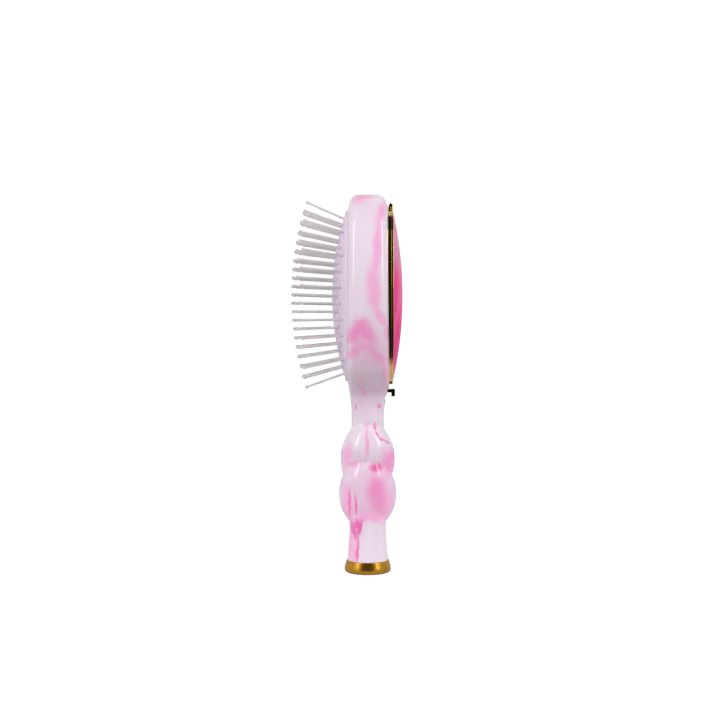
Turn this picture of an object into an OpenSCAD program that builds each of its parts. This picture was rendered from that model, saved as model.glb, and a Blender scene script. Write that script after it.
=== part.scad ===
// Hand mirror brush: a cushion brush with nylon pins on the front and a hinged mirror lid on the back.
// The brush stands upright on its gold foot. Z runs up the handle, -Y is the pin side, +Y the mirror side.
// The origin is the centre of the foot's flat underside. All sizes are in millimetres.

/* [Body] */
// Height of the whole brush, from the foot to the crown
total_h = 214.7; // [210:0.1:220]
// Width of the head
head_w = 80; // [78:0.5:84]
// Length of the head, from the shoulders to the crown
head_len = 115; // [113:0.5:117]
// Depth of the head in front of the middle plane
head_front = 12.5; // [12.2:0.1:13]
// Depth of the head behind the middle plane
head_back = 12.3; // [12.1:0.1:12.8]
// Radius of the neck
neck_r = 9.15; // [8.8:0.05:9.6]
// Radius of the upper bulge of the handle
upper_r = 15.45; // [14.5:0.05:16.5]
// Radius of the lower bulge of the handle
lower_r = 16.4; // [15.5:0.05:17.5]
// Radius of the straight stretch above the foot
column_r = 10.45; // [10.2:0.05:11]

/* [Foot] */
// Height of the gold foot
foot_h = 6.8; // [6.5:0.1:7.5]
// Largest radius of the gold foot
foot_r = 13.3; // [12.9:0.1:14]
// Radius of the gold foot where the handle stands on it
foot_top_r = 12.15; // [12.1:0.05:12.6]

/* [Cushion and pins] */
// Width of the cushion
pad_w = 63; // [62:0.5:64]
// Length of the cushion
pad_len = 97; // [95:0.5:98]
// Height of the cushion's dome over its edge
pad_rise = 8; // [7:0.1:8.5]
// Thickness of the cushion's rubber
pad_wall = 1.6; // [1.4:0.1:1.8]
// Number of rows of pins
pin_rows = 21; // [17:2:21]
// Distance from one row to the next
row_pitch = 4.4; // [4.2:0.1:4.4]
// Distance between neighbouring pins of one row
pin_pitch = 9.6; // [9:0.1:10]
// Diameter of a pin's shank
pin_d = 1.25; // [1.1:0.05:1.4]
// Diameter of a pin's ball tip
ball_d = 1.85; // [1.6:0.05:2]
// Length of a pin outside the cushion
pin_len = 23.4; // [20:0.1:25]

/* [Mirror and lid] */
// Width of the gold rim
rim_w = 65; // [64:0.5:66]
// Length of the gold rim
rim_len = 100; // [98:0.5:100]
// Rise of the lid's dome over its rim
dome_rise = 5.7; // [5:0.1:6]
// Thickness of the mirror glass
glass_t = 2; // [1.8:0.1:2]

/* [Hidden] */
function row_name(i) = str("pin_row_", i < 10 ? "0" : "", i);
$fn = 48;

// The head's outline and everything laid parallel to it: a squarish oval
oval_power = 2.3;
head_z = total_h - head_len / 2;
head_sides = 56;
ring_sides = 72;

// Heights of the handle, seen on the front and back edges
flare_top = 28;
flare_r = 2.54;
lower_z = 44.6;
lower_half = 20.3;
upper_z = 64.6;
upper_half = 20.8;
crease_z = 55.75;
neck_z = 81.9;
shoulder_from = 96;
shoulder_to = 118;
crown_h = 10.7;
crown_low = 0.45;
arch_from = 7;
arch_to = 92;

// Levels through the head, front to back
well_floor = -2;
groove_y = -5;
carrier_t = 1.6;
pad_edge_y = -12.2;
recess_floor = 8;
tape_t = 0.6;
glass_y = recess_floor + tape_t;
bezel_y = 10.6;
bezel_top = 12.85;
lid_y = 12.95;
seat_y = 13.65;
rim_top = 14.05;
dome_wall = 1.6;

// Ovals across the head, as half sizes
pad_a = pad_w / 2;
pad_b = pad_len / 2;
rim_a = rim_w / 2;
rim_b = rim_len / 2;
pins_share = 0.91;
splay_in = 3.5;
flange = 1.5;
bezel_in = 4.3;
bezel_ends = 4.7;
mirror_in = 3;
mirror_ends = 3.8;
seat_in = 3.2;
dome_in = 0.85;

// Hinge, at the top of the rim, and its pin
hinge_y = 12.9;
hinge_z = head_z + rim_b + 0.85;
knuckle_r = 1.2;
knuckle_mid = 2.95;
knuckle_from = 3.1;
knuckle_to = 9;
pin_r = 0.55;
bore_r = 0.6;
web_y = 11.6;
web_h = 4;
lid_web_h = 3;

// Thumb catch, its pocket and its spring
pocket_w = 5.8;
pocket_z = 98.5;
pocket_top = 110.1;
pocket_y = 2;
plate_y = 7.5;
plate_t = 1.2;
plate_w = 9.8;
plate_z = 98.4;
plate_top = 106.3;
catch_w = 5;
catch_z = 102.6;
arm_t = 1.9;
block_z = 101.2;
block_top = 107.1;
catch_travel = 2.5;
tongue_z = 108.5;
tongue_y = 4.8;
tongue_t = 1.4;
window_w = 3.5;
window_y = 5.6;
window_top = 7.2;
nose_w = 3;
nose_y = 5.9;
nose_top = 6.9;
spring_y = 5;
spring_bore_r = 2.2;
spring_bottom = 88.5;
screw_x = 3.8;
screw_z = 103.2;
screw_r = 0.5;
cover_screw_len = 4;

// Foot fixings
spigot_r = 7.5;
spigot_top = 13;
insert_r = 3.5;
insert_from = 15;
insert_to = 25;
insert_room = 3;
foot_pad_r = 9.25;
foot_pad_t = 1;
screw_head_r = 3.6;
screw_head_top = 3.45;
screw_shank_r = 2;
screw_top = 24;

// Clearances: of a thread, of a piece let in, of a piece laid in, of the cushion, and of moving pieces
thread_gap = 0.02;
let_in_gap = 0.05;
laid_gap = 0.1;
cushion_gap = 0.15;
slide_gap = 0.2;
knuckle_gap = 0.3;
slot_gap = 0.35;
tongue_gap = 0.55;
// How far a cut passes beyond a face, and a depth clear of the whole head
over = 1;
clear_y = 30;

// A point of an oval with half sizes a and b, at the angle t
function oval_k(t, p) = pow(pow(abs(cos(t)), p) + pow(abs(sin(t)), p), 1 / p);
function oval_point(a, b, t, p) = [a * cos(t), b * sin(t)] / oval_k(t, p);
function oval(a, b, n) = [for (i = [0:n - 1]) oval_point(a, b, 360 * i / n, oval_power)];
// How far a point lies out towards an oval's edge, 0 at its centre and 1 on the edge
function reach(x, z, a, b) =
    pow(pow(abs(x) / a, oval_power) + pow(abs(z) / b, oval_power), 1 / oval_power);
// A soft step from 0 to 1 between two heights
function ramp(z, z0, z1) = let (t = max(0, min(1, (z - z0) / (z1 - z0)))) t * t * (3 - 2 * t);
// A round bulge on the handle: half an ellipse, nothing beyond its ends
function bulge(z, mid, half, r) = abs(z - mid) < half ? r * sqrt(1 - pow((z - mid) / half, 2)) : 0;
function column(z) = z > lower_z ? 0 : column_r + flare_r * pow(max(0, flare_top - z) / flare_top, 2.2);
function handle_r(z) = max(
    column(z),
    bulge(z, lower_z, lower_half, lower_r),
    bulge(z, upper_z, upper_half, upper_r),
    z > upper_z ? neck_r : 0
);
// The creases between the bulges rise in an arch round the sides of the handle
function arch_u(z) = max(0, min(1, (z - arch_from) / (arch_to - arch_from)));
function arch_rise(z) = 66 * pow(arch_u(z), 1.35) * pow(1 - arch_u(z), 1.53);
function side_share(t) = 1 - pow(abs(sin(t)), 3);
// A shallow groove runs down each side of the bulges
function groove(z, t) = 1 - 0.075 * ramp(z, 24, 38) * (1 - ramp(z, 74, 90)) * exp(-pow(sin(t) / 0.24, 2));
// Half width and depths of the head at a height
function crown(z) = crown_low + (1 - crown_low) * sqrt(1 - pow(max(0, 1 - (total_h - z) / crown_h), 2));
function head_half(z) =
    let (d = min(1, abs(z - head_z) / (head_len / 2)))
    head_w / 2 * pow(1 - pow(d, oval_power), 1 / oval_power) * sqrt(ramp(z, shoulder_from, shoulder_to));
function half_width(z) = pow(pow(handle_r(min(z, head_z)), 3) * (1 - ramp(z, head_z, total_h))
    + pow(head_half(z), 3), 1 / 3);
function front_depth(z) =
    (handle_r(z) + (head_front - neck_r) * ramp(z, 90, 122) - 0.012 * max(0, z - 112)) * crown(z);
function back_depth(z) =
    (handle_r(z) + (head_back - neck_r) * ramp(z, 90, 110) - 0.01 * max(0, z - 108)) * crown(z);
function section_power(z) = 2 + 4 * ramp(z, 94, 116);

function body_point(z, t) =
    let (
        p = section_power(z),
        k = oval_k(t, p) / groove(z, t),
        depth = sin(t) < 0 ? front_depth(z) : back_depth(z)
    )
    [half_width(z) * cos(t) / k, depth * sin(t) / k, z + arch_rise(z) * side_share(t)];
function body_ring(z) = [for (i = [0:head_sides - 1]) body_point(z, 360 * i / head_sides)];
function steps(from, to, count) = [for (i = [0:count - 1]) from + (to - from) * i / count];
body_levels = concat(
    steps(foot_h, lower_z - 15.9, 6),
    steps(lower_z - 15.9, crease_z, 9),
    steps(crease_z, neck_z, 9),
    steps(neck_z, 98, 4),
    steps(98, 118, 9),
    steps(118, total_h - 12, 7),
    [for (i = [0:9]) total_h - 12 * (1 - sin(9.7 * i))]
);

// The middle of a ring of points
function middle(ring) = [for (k = [0:2]) [for (q = ring) q[k]] * [for (q = ring) 1 / len(ring)]];
// A closed solid through a list of rings, with a fan of faces at each end
module loft(rings) {
    n = len(rings[0]);
    m = len(rings);
    polyhedron(
        points = concat([for (r = rings) each r], [middle(rings[0]), middle(rings[m - 1])]),
        faces = concat(
            [for (j = [0:n - 1]) [m * n, j, (j + 1) % n]],
            [for (j = [0:n - 1]) [m * n + 1, (m - 1) * n + (j + 1) % n, (m - 1) * n + j]],
            [for (i = [0:m - 2]) for (j = [0:n - 1]) let (a = i * n, b = a + n, k = (j + 1) % n)
                each [[a + j, b + j, b + k], [a + j, b + k, a + k]]]
        )
    );
}

// A ring of the head's oval at the depth y, for lofts along Y
function head_ring(a, b, y) = [for (q = oval(a, b, ring_sides)) [q[0], y, head_z + q[1]]];

// An oval plate parallel to the head, from the depth y0 to y1
module oval_plate(a, b, y0, y1) {
    translate([0, y1, head_z])
        rotate([90, 0, 0])
            linear_extrude(height = y1 - y0)
                polygon(oval(a, b, ring_sides));
}

// A block given by its lowest and highest corners
module block(low, high) {
    translate(low) cube(high - low);
}

// A bar of the radius r along X, on the hinge's axis
module hinge_bar(r, x0, x1) {
    translate([x0, hinge_y, hinge_z]) rotate([0, 90, 0]) cylinder(r = r, h = x1 - x0);
}

// A cylinder along Y, from the depth y0 to y1
module cross_bar(x, z, r, y0, y1) {
    translate([x, y0, z]) rotate([-90, 0, 0]) cylinder(r = r, h = y1 - y0);
}

// One moulding: head, neck and handle, with the cushion's well, the mirror's recess and the catch's pocket
module brush_body() {
    color([0.93, 0.80, 0.90])
    difference() {
        loft([for (z = body_levels) body_ring(z)]);
        oval_plate(pad_a, pad_b, -clear_y, groove_y + over);
        oval_plate(pad_a + flange, pad_b + flange, groove_y, well_floor);
        oval_plate(rim_a + let_in_gap, rim_b + let_in_gap, bezel_y, clear_y);
        oval_plate(rim_a - mirror_in + laid_gap, rim_b - mirror_ends, recess_floor, bezel_y + over);
        block([-pocket_w / 2, pocket_y, pocket_z], [pocket_w / 2, bezel_y + over, pocket_top]);
        block([-plate_w / 2 - let_in_gap, plate_y, plate_z - let_in_gap],
            [plate_w / 2 + let_in_gap, clear_y, plate_top + let_in_gap]);
        translate([0, spring_y, spring_bottom])
            cylinder(r = spring_bore_r, h = pocket_z + over - spring_bottom);
        for (x = [-screw_x, screw_x]) {
            cross_bar(x, screw_z, screw_r + thread_gap,
                plate_y - cover_screw_len - slide_gap, plate_y + over);
        }
        translate([0, 0, foot_h - over])
            cylinder(r = spigot_r + let_in_gap, h = spigot_top - foot_h + over + slide_gap);
        translate([0, 0, foot_h]) cylinder(r = insert_r + thread_gap, h = insert_to + insert_room - foot_h);
    }
}

// Polished gold foot, with a spigot up into the handle
module end_cap() {
    edge_r = 1.5;
    edge_h = 1.8;
    lip_r = 0.15;
    lip_h = 0.3;
    color([0.77, 0.58, 0.22])
    difference() {
        union() {
            rotate_extrude($fn = 96) polygon(concat(
                [[0, 0]],
                [for (i = [0:6]) [foot_r - edge_r * (1 - sin(15 * i)), edge_h * (1 - cos(15 * i))]],
                [[foot_top_r + lip_r, foot_h - lip_h], [foot_top_r - lip_r, foot_h], [0, foot_h]]
            ));
            translate([0, 0, foot_h - over]) cylinder(r = spigot_r, h = spigot_top - foot_h + over);
        }
        translate([0, 0, -over]) cylinder(r = foot_pad_r + let_in_gap, h = over + foot_pad_t);
        cylinder(r = screw_head_r + slide_gap, h = screw_head_top + let_in_gap);
        cylinder(r = screw_shank_r + cushion_gap, h = spigot_top + over);
    }
}

// Soft disc under the foot, over the screw's head
module foot_pad() {
    color([0.25, 0.22, 0.24]) cylinder(r = foot_pad_r, h = foot_pad_t);
}

// Pan head screw that holds the foot
module foot_screw() {
    key_r = 1.4;
    key_top = 2.6;
    head_from = foot_pad_t + laid_gap;
    color([0.72, 0.72, 0.74])
    difference() {
        union() {
            translate([0, 0, head_from]) cylinder(r = screw_head_r, h = screw_head_top - head_from);
            translate([0, 0, key_top + laid_gap])
                cylinder(r = screw_shank_r, h = screw_top - key_top - laid_gap);
        }
        cylinder(r = key_r, h = key_top, $fn = 6);
    }
}

// Threaded brass insert moulded into the handle
module foot_insert() {
    color([0.80, 0.66, 0.35])
    translate([0, 0, insert_from])
    difference() {
        cylinder(r = insert_r, h = insert_to - insert_from);
        translate([0, 0, -over])
            cylinder(r = screw_shank_r + thread_gap, h = insert_to - insert_from + 2 * over);
    }
}

// Plate behind the cushion, which closes the air chamber
module pad_carrier() {
    color([0.90, 0.86, 0.90])
    oval_plate(pad_a + flange - laid_gap, pad_b + flange - laid_gap, well_floor - carrier_t, well_floor);
}

// A ring of the cushion: the share of the way out to the edge, an inset, and a depth
function pad_ring(share, inset, y) = head_ring(share * pad_a - inset, share * pad_b - inset, y);
function dome_y(share) = pad_edge_y - pad_rise * (1 - share * share);

// Rubber cushion: a domed cup with a flange that sits in the well's groove
module cushion_pad() {
    dome_steps = 9;
    dome_share = 0.97;
    roof_share = 0.94;
    shoulder = 0.4;
    base_y = well_floor - carrier_t;
    flange_y = groove_y + let_in_gap;
    color([0.84, 0.77, 0.86])
    loft(concat(
        [for (i = [1:dome_steps]) let (s = roof_share * i / dome_steps)
            pad_ring(s, 0, dome_y(s) + pad_wall)],
        [pad_ring(1, pad_wall + laid_gap, pad_edge_y + pad_wall), pad_ring(1, pad_wall + laid_gap, base_y)],
        [pad_ring(1, cushion_gap - flange, base_y), pad_ring(1, cushion_gap - flange, flange_y)],
        [pad_ring(1, cushion_gap, flange_y), pad_ring(1, cushion_gap, pad_edge_y + shoulder)],
        [for (i = [dome_steps:-1:1]) let (s = dome_share * i / dome_steps) pad_ring(s, 0, dome_y(s))]
    ));
}

// Rows of pins: row 1 is the lowest, and every second row is shifted by half a pitch
function row_z(i) = (i - (pin_rows + 1) / 2) * row_pitch;
function row_xs(i) = [
    for (k = [-4:4])
        let (x = (k + (i % 2 == 0 ? 0.5 : 0)) * pin_pitch)
        if (reach(x, row_z(i), pad_a, pad_b) < pins_share) x
];
// Splay of a pin in degrees: the cushion's dome leans it outwards, more towards the edge
function lean_up(u) = 2 + 8 * u + 15 * pow(u, 3);
function lean_out(u) = 9 * u + 17 * pow(u, 3);

// One pin along +Z from its root: a flat head under the rubber, a shank and a ball tip
module pin() {
    root = pad_wall + laid_gap;
    nail_r = 1.2;
    nail_t = 0.7;
    ball_steps = 8;
    ball_from = -acos(pin_d / ball_d);
    rotate_extrude($fn = 24) polygon(concat(
        [[0, -root - nail_t], [nail_r, -root - nail_t], [nail_r, -root], [pin_d / 2, -root]],
        [for (i = [0:ball_steps]) let (a = ball_from + (90 - ball_from) * i / ball_steps)
            [ball_d / 2 * cos(a), pin_len - ball_d / 2 + ball_d / 2 * sin(a)]]
    ));
}

// One row of pins, each rooted on the cushion's dome
module pin_row(i) {
    z = row_z(i);
    color([0.86, 0.83, 0.85])
    for (x = row_xs(i)) {
        translate([x, dome_y(reach(x, z, pad_a, pad_b)), head_z + z])
            rotate([90 - lean_up(z / (pad_b - splay_in)), 0, lean_out(x / (pad_a - splay_in))])
                pin();
    }
}

// Fixed gold rim, let into the back of the head, with the two outer knuckles of the hinge
module rear_bezel() {
    color([0.80, 0.62, 0.28])
    difference() {
        union() {
            oval_plate(rim_a, rim_b, bezel_y, bezel_top);
            for (side = [-1, 1]) scale([side, 1, 1]) {
                hinge_bar(knuckle_r, knuckle_from, knuckle_to);
                block([knuckle_from, web_y, hinge_z - web_h], [knuckle_to, bezel_top, hinge_z]);
            }
        }
        oval_plate(rim_a - bezel_in, rim_b - bezel_ends, bezel_y - over, bezel_top + over);
        block([-catch_w / 2 - slot_gap, bezel_y - over, tongue_z - tongue_gap],
            [catch_w / 2 + slot_gap, bezel_top + over, pocket_top - let_in_gap]);
        hinge_bar(knuckle_r + knuckle_gap, -knuckle_from, knuckle_from);
        hinge_bar(bore_r, -knuckle_to - over, knuckle_to + over);
    }
}

// Foam tape under the mirror
module mirror_tape() {
    tape_in = 2;
    color([0.35, 0.33, 0.35])
    oval_plate(rim_a - mirror_in - tape_in, rim_b - mirror_ends - tape_in, recess_floor, glass_y);
}

// Mirror glass, held by the fixed rim
module mirror_glass() {
    color([0.80, 0.86, 0.90])
    oval_plate(rim_a - mirror_in, rim_b - mirror_ends - laid_gap, glass_y, glass_y + glass_t);
}

// Gold rim of the lid, with the seat of the dome, the middle knuckle and the tongue of the catch
module lid_bezel() {
    color([0.80, 0.62, 0.28])
    difference() {
        union() {
            oval_plate(rim_a, rim_b, lid_y, rim_top);
            hinge_bar(knuckle_r, -knuckle_mid, knuckle_mid);
            block([-knuckle_mid, lid_y, hinge_z - lid_web_h], [knuckle_mid, rim_top, hinge_z]);
            block([-catch_w / 2, tongue_y, tongue_z], [catch_w / 2, seat_y - laid_gap, tongue_z + tongue_t]);
        }
        oval_plate(rim_a - dome_in, rim_b - dome_in, seat_y, rim_top + over);
        oval_plate(rim_a - seat_in, rim_b - seat_in, lid_y - over, rim_top + over);
        block([-window_w / 2, window_y, tongue_z - over],
            [window_w / 2, window_top, tongue_z + tongue_t + over]);
        hinge_bar(bore_r, -knuckle_to - over, knuckle_to + over);
        for (side = [-1, 1]) scale([side, 1, 1]) {
            hinge_bar(knuckle_r + knuckle_gap, knuckle_mid + thread_gap, knuckle_to + knuckle_gap);
        }
    }
}

// Plate that closes the hollow of the lid
module lid_liner() {
    color([0.92, 0.84, 0.90])
    oval_plate(rim_a - seat_in - let_in_gap, rim_b - seat_in - let_in_gap, lid_y, seat_y);
}

// Domed cover of the lid: a cup that sits inside the lid's rim
function shell_ring(share, inset, y) =
    head_ring(share * (rim_a - dome_in) - inset, share * (rim_b - dome_in) - inset, y);
function shell_y(share) = rim_top + dome_rise * (1 - share * share);
module lid_shell() {
    shell_steps = 10;
    dome_share = 0.985;
    hollow_share = 0.93;
    step_y = 0.3;
    color([0.88, 0.25, 0.58])
    loft(concat(
        [for (i = [1:shell_steps]) let (s = dome_share * i / shell_steps) shell_ring(s, 0, shell_y(s))],
        [shell_ring(1, let_in_gap, rim_top + let_in_gap), shell_ring(1, let_in_gap, seat_y)],
        [shell_ring(1, dome_wall, seat_y), shell_ring(1, dome_wall, seat_y + step_y)],
        [for (i = [shell_steps:-1:1]) let (s = hollow_share * i / shell_steps)
            shell_ring(s, 0, max(seat_y + step_y + laid_gap, shell_y(s) - dome_wall))]
    ));
}

// Hinge pin
module hinge_pin() {
    color([0.70, 0.60, 0.35]) hinge_bar(pin_r, -knuckle_to, knuckle_to);
}

// Cover plate of the catch's pocket, with the slot of the thumb tab
module catch_plate() {
    color([0.80, 0.62, 0.28])
    difference() {
        block([-plate_w / 2, plate_y, plate_z], [plate_w / 2, plate_y + plate_t, plate_top]);
        block([-catch_w / 2 - slide_gap, plate_y - over, catch_z - catch_travel - slide_gap],
            [catch_w / 2 + slide_gap, plate_y + plate_t + over, catch_z + arm_t + slide_gap]);
        for (x = [-screw_x, screw_x]) {
            cross_bar(x, screw_z, screw_r + let_in_gap, plate_y - over, plate_y + plate_t + over);
        }
    }
}

// Two small screws of the cover plate
module catch_screws() {
    cover_head_r = 0.95;
    cover_head_t = 0.4;
    color([0.72, 0.60, 0.34])
    for (x = [-screw_x, screw_x]) {
        cross_bar(x, screw_z, screw_r, plate_y - cover_screw_len, plate_y + plate_t + cover_head_t / 2);
        cross_bar(x, screw_z, cover_head_r, plate_y + plate_t, plate_y + plate_t + cover_head_t);
    }
}

// Sliding catch: a block in the pocket, a nose under the lid's tongue, and the L-shaped thumb tab
module thumb_catch() {
    tab_y = 15.5;
    leg_t = 2;
    leg_h = 2.2;
    block_w = pocket_w - 2 * cushion_gap;
    color([0.78, 0.60, 0.26])
    union() {
        block([-block_w / 2, pocket_y + slot_gap, block_z], [block_w / 2, plate_y - cushion_gap, block_top]);
        block([-nose_w / 2, nose_y, block_z], [nose_w / 2, nose_top, tongue_z - slot_gap]);
        block([-catch_w / 2, plate_y - over, catch_z], [catch_w / 2, tab_y, catch_z + arm_t]);
        block([-catch_w / 2, tab_y - leg_t, catch_z - leg_h], [catch_w / 2, tab_y, catch_z + arm_t]);
    }
}

// Compression spring under the catch: a round wire wound in a helix
module catch_spring() {
    coil_r = 1.5;
    wire_r = 0.25;
    turns = 7;
    per_turn = 14;
    wire_sides = 6;
    first_z = spring_bottom + wire_r + let_in_gap;
    rise = block_z - wire_r - let_in_gap - first_z;
    color([0.70, 0.70, 0.72])
    loft([
        for (i = [0:turns * per_turn])
            let (a = 360 * i / per_turn, z = first_z + rise * i / (turns * per_turn))
            [for (j = [wire_sides - 1:-1:0])
                let (b = 360 * j / wire_sides, r = coil_r + wire_r * cos(b))
                [r * cos(a), spring_y + r * sin(a), z + wire_r * sin(b)]]
    ]);
}

brush_body();
end_cap();
foot_pad();
foot_screw();
foot_insert();
pad_carrier();
cushion_pad();
for (i = [1:pin_rows]) pin_row(i);
rear_bezel();
mirror_tape();
mirror_glass();
lid_bezel();
lid_liner();
lid_shell();
hinge_pin();
catch_plate();
catch_screws();
thumb_catch();
catch_spring();
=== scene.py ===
import math

import bmesh
import bpy
import numpy as np
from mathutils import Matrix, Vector


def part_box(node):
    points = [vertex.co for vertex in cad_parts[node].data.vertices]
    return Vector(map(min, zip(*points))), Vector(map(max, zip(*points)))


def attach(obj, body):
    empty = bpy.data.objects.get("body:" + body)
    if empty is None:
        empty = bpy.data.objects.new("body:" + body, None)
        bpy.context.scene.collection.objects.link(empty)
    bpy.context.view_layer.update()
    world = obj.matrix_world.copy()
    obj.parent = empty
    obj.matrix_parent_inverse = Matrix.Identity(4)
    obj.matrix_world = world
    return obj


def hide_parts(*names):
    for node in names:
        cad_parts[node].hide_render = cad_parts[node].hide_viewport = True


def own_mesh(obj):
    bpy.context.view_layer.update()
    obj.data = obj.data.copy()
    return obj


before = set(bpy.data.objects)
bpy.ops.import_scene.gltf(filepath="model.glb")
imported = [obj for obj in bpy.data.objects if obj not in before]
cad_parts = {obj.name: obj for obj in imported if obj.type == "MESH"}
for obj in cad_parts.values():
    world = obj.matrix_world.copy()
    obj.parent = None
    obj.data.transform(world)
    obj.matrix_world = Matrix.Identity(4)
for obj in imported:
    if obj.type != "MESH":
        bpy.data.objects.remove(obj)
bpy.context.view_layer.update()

# --- Studio: camera, light and floor -----------------------------------------------------------
# The brush stands on a white sheet in a white studio. Two tall softboxes stand left and right of
# the camera, and a broad fill light behind it. Black cloth hangs over and behind the camera and
# lies on the near floor, so polished metal shows a dark core.
scene = bpy.context.scene
scene.view_settings.view_transform = "Standard"
middle_y = -0.0044
camera = bpy.data.objects.new("camera", bpy.data.cameras.new("camera"))
camera.data.sensor_width = 36
camera.data.lens = 63.2
camera.location = (0.72, middle_y, 0.145)
aim = Vector((0, middle_y, 0.121)) - camera.location
camera.rotation_euler = aim.to_track_quat("-Z", "Y").to_euler()
scene.collection.objects.link(camera)
scene.camera = camera


def node(tree, kind, sockets=None, **settings):
    """Adds a shader node. sockets gives each named or numbered input its value, or an output to link."""
    made = tree.nodes.new("ShaderNode" + kind)
    for name, value in settings.items():
        setattr(made, name, value)
    for key, value in (sockets or {}).items():
        if isinstance(value, bpy.types.NodeSocket):
            tree.links.new(value, made.inputs[key])
        else:
            made.inputs[key].default_value = value
    return made


world = bpy.data.worlds.new("white studio")
world.use_nodes = True
sky = world.node_tree
sky.nodes.clear()
direction = node(sky, "TexCoord").outputs["Generated"]
split = node(sky, "SeparateXYZ", {0: direction})
sideways = node(sky, "Math", {0: split.outputs["Y"]}, operation="ABSOLUTE")
band = node(sky, "MapRange", {0: sideways.outputs[0], 1: 0.66, 2: 0.54})
ahead = node(sky, "MapRange", {0: split.outputs["X"], 1: -0.40, 2: -0.25})
dark = node(sky, "Math", {0: band.outputs[0], 1: ahead.outputs[0]}, operation="MULTIPLY")
room = node(
    sky, "Mix",
    {0: dark.outputs[0], 6: (0.97, 0.97, 0.98, 1), 7: (0.02, 0.015, 0.015, 1)},
    data_type="RGBA",
)
seen = node(sky, "Background", {0: (1, 1, 1, 1), 1: 1.05})
light = node(sky, "Background", {0: room.outputs[2], 1: 0.80})
path = node(sky, "LightPath")
backdrop = node(
    sky, "MixShader",
    {0: path.outputs["Is Camera Ray"], 1: light.outputs[0], 2: seen.outputs[0]},
)
node(sky, "OutputWorld", {0: backdrop.outputs[0]})
scene.world = world

for side in (-1, 1):
    lamp = bpy.data.objects.new("softbox", bpy.data.lights.new("softbox", "AREA"))
    lamp.data.shape = "RECTANGLE"
    lamp.data.size = 0.30
    lamp.data.size_y = 1.35
    lamp.data.energy = 5.5
    lamp.location = (0.60, side * 0.86, 0.88)
    turn = Vector((0, 0, 0.45)) - lamp.location
    lamp.rotation_euler = turn.to_track_quat("-Z", "Y").to_euler()
    lamp.visible_camera = False
    scene.collection.objects.link(lamp)

fill = bpy.data.objects.new("fill", bpy.data.lights.new("fill", "AREA"))
fill.data.size = 0.9
fill.data.energy = 6.6
fill.location = (1.15, middle_y, 0.30)
turn = Vector((0, 0, 0.17)) - fill.location
fill.rotation_euler = turn.to_track_quat("-Z", "Y").to_euler()
fill.visible_camera = False
fill.visible_glossy = False
scene.collection.objects.link(fill)

floor_mesh = bpy.data.meshes.new("floor")
floor_mesh.from_pydata([(-6, -5, 0), (0.34, -5, 0), (0.34, 5, 0), (-6, 5, 0)], [], [(0, 1, 2, 3)])
floor = bpy.data.objects.new("floor", floor_mesh)
scene.collection.objects.link(floor)
paper = bpy.data.materials.new("white paper")
paper.use_nodes = True
tree = paper.node_tree
tree.nodes.clear()
on_floor = node(tree, "TexCoord").outputs["Object"]
grain = node(tree, "TexNoise", {"Vector": on_floor, "Scale": 60.0, "Detail": 3.0})
tone = node(
    tree, "Mix",
    {0: grain.outputs[0], 6: (0.90, 0.90, 0.90, 1), 7: (0.94, 0.94, 0.94, 1)},
    data_type="RGBA",
)
matt = node(tree, "BsdfDiffuse", {"Color": tone.outputs[2]})
glow = node(tree, "Emission", {"Color": (1, 1, 1, 1), "Strength": 1.30})
lit = node(tree, "MixShader", {0: 0.70, 1: matt.outputs[0], 2: glow.outputs[0]})
along = node(tree, "SeparateXYZ", {0: on_floor})
cloth = node(tree, "MapRange", {0: along.outputs["X"], 1: 0.05, 2: 0.10})
black = node(tree, "BsdfDiffuse", {"Color": (0.02, 0.02, 0.02, 1)})
covered = node(tree, "MixShader", {0: cloth.outputs[0], 1: matt.outputs[0], 2: black.outputs[0]})
path = node(tree, "LightPath")
both = node(tree, "MixShader", {0: path.outputs["Is Camera Ray"], 1: covered.outputs[0], 2: lit.outputs[0]})
node(tree, "OutputMaterial", {0: both.outputs[0]})
floor.data.materials.append(paper)

# --- Head and handle ---------------------------------------------------------------------------
# One moulding of cast resin: a flat oval head, a neck, and a handle of two double bulges with a
# groove down each side. The cushion's well, the mirror's recess and the catch's pocket are cut in.
MM = 0.001
foot_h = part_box("brush_body")[0].z / MM
head_len = 115.0
head_w = 80.0
head_z = (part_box("pad_carrier")[0].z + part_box("pad_carrier")[1].z) / MM / 2
head_top = head_z + head_len / 2
crown_h = 10.7
neck_r = 9.15
column_r, flare_r, flare_top = 10.45, 2.54, 28
lower_z, lower_half, lower_r = 44.6, 20.3, 16.4
upper_z, upper_half, upper_r = 64.6, 20.8, 15.45
well_a, well_b, well_floor = 31.5, 48.5, -2.0
rim_a, rim_b, rim_seat = 32.5, 50.0, 10.6
recess_a, recess_b, recess_floor = 29.6, 46.2, 8.0
pocket_low, pocket_high = (-2.9, 2.0, 98.5), (2.9, 11.6, 110.1)
spring_y, spring_bore_r, spring_bottom = 5.0, 2.2, 88.5
OVAL = 2.3


def oval_scale(t, power):
    """How much a squarish oval is tighter than its corner box: (|cos t|^p + |sin t|^p)^(1/p)."""
    return (np.abs(np.cos(t)) ** power + np.abs(np.sin(t)) ** power) ** (1 / power)


def ramp(z, low, high):
    """A soft step from 0 to 1: 3u^2 - 2u^3, with u the share of the way from low to high."""
    u = np.clip((z - low) / (high - low), 0, 1)
    return u * u * (3 - 2 * u)


def softest(first, second, blend):
    """The larger of two heights, rounded where they cross: blend * log(e^(a/blend) + e^(b/blend))."""
    return blend * np.logaddexp(first / blend, second / blend)


def bulge(z, middle, half, radius):
    """Half an ellipse about a middle height: radius * sqrt(1 - u^2), and nothing beyond its ends."""
    return radius * np.sqrt(np.clip(1 - ((z - middle) / half) ** 2, 0, 1))


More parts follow.
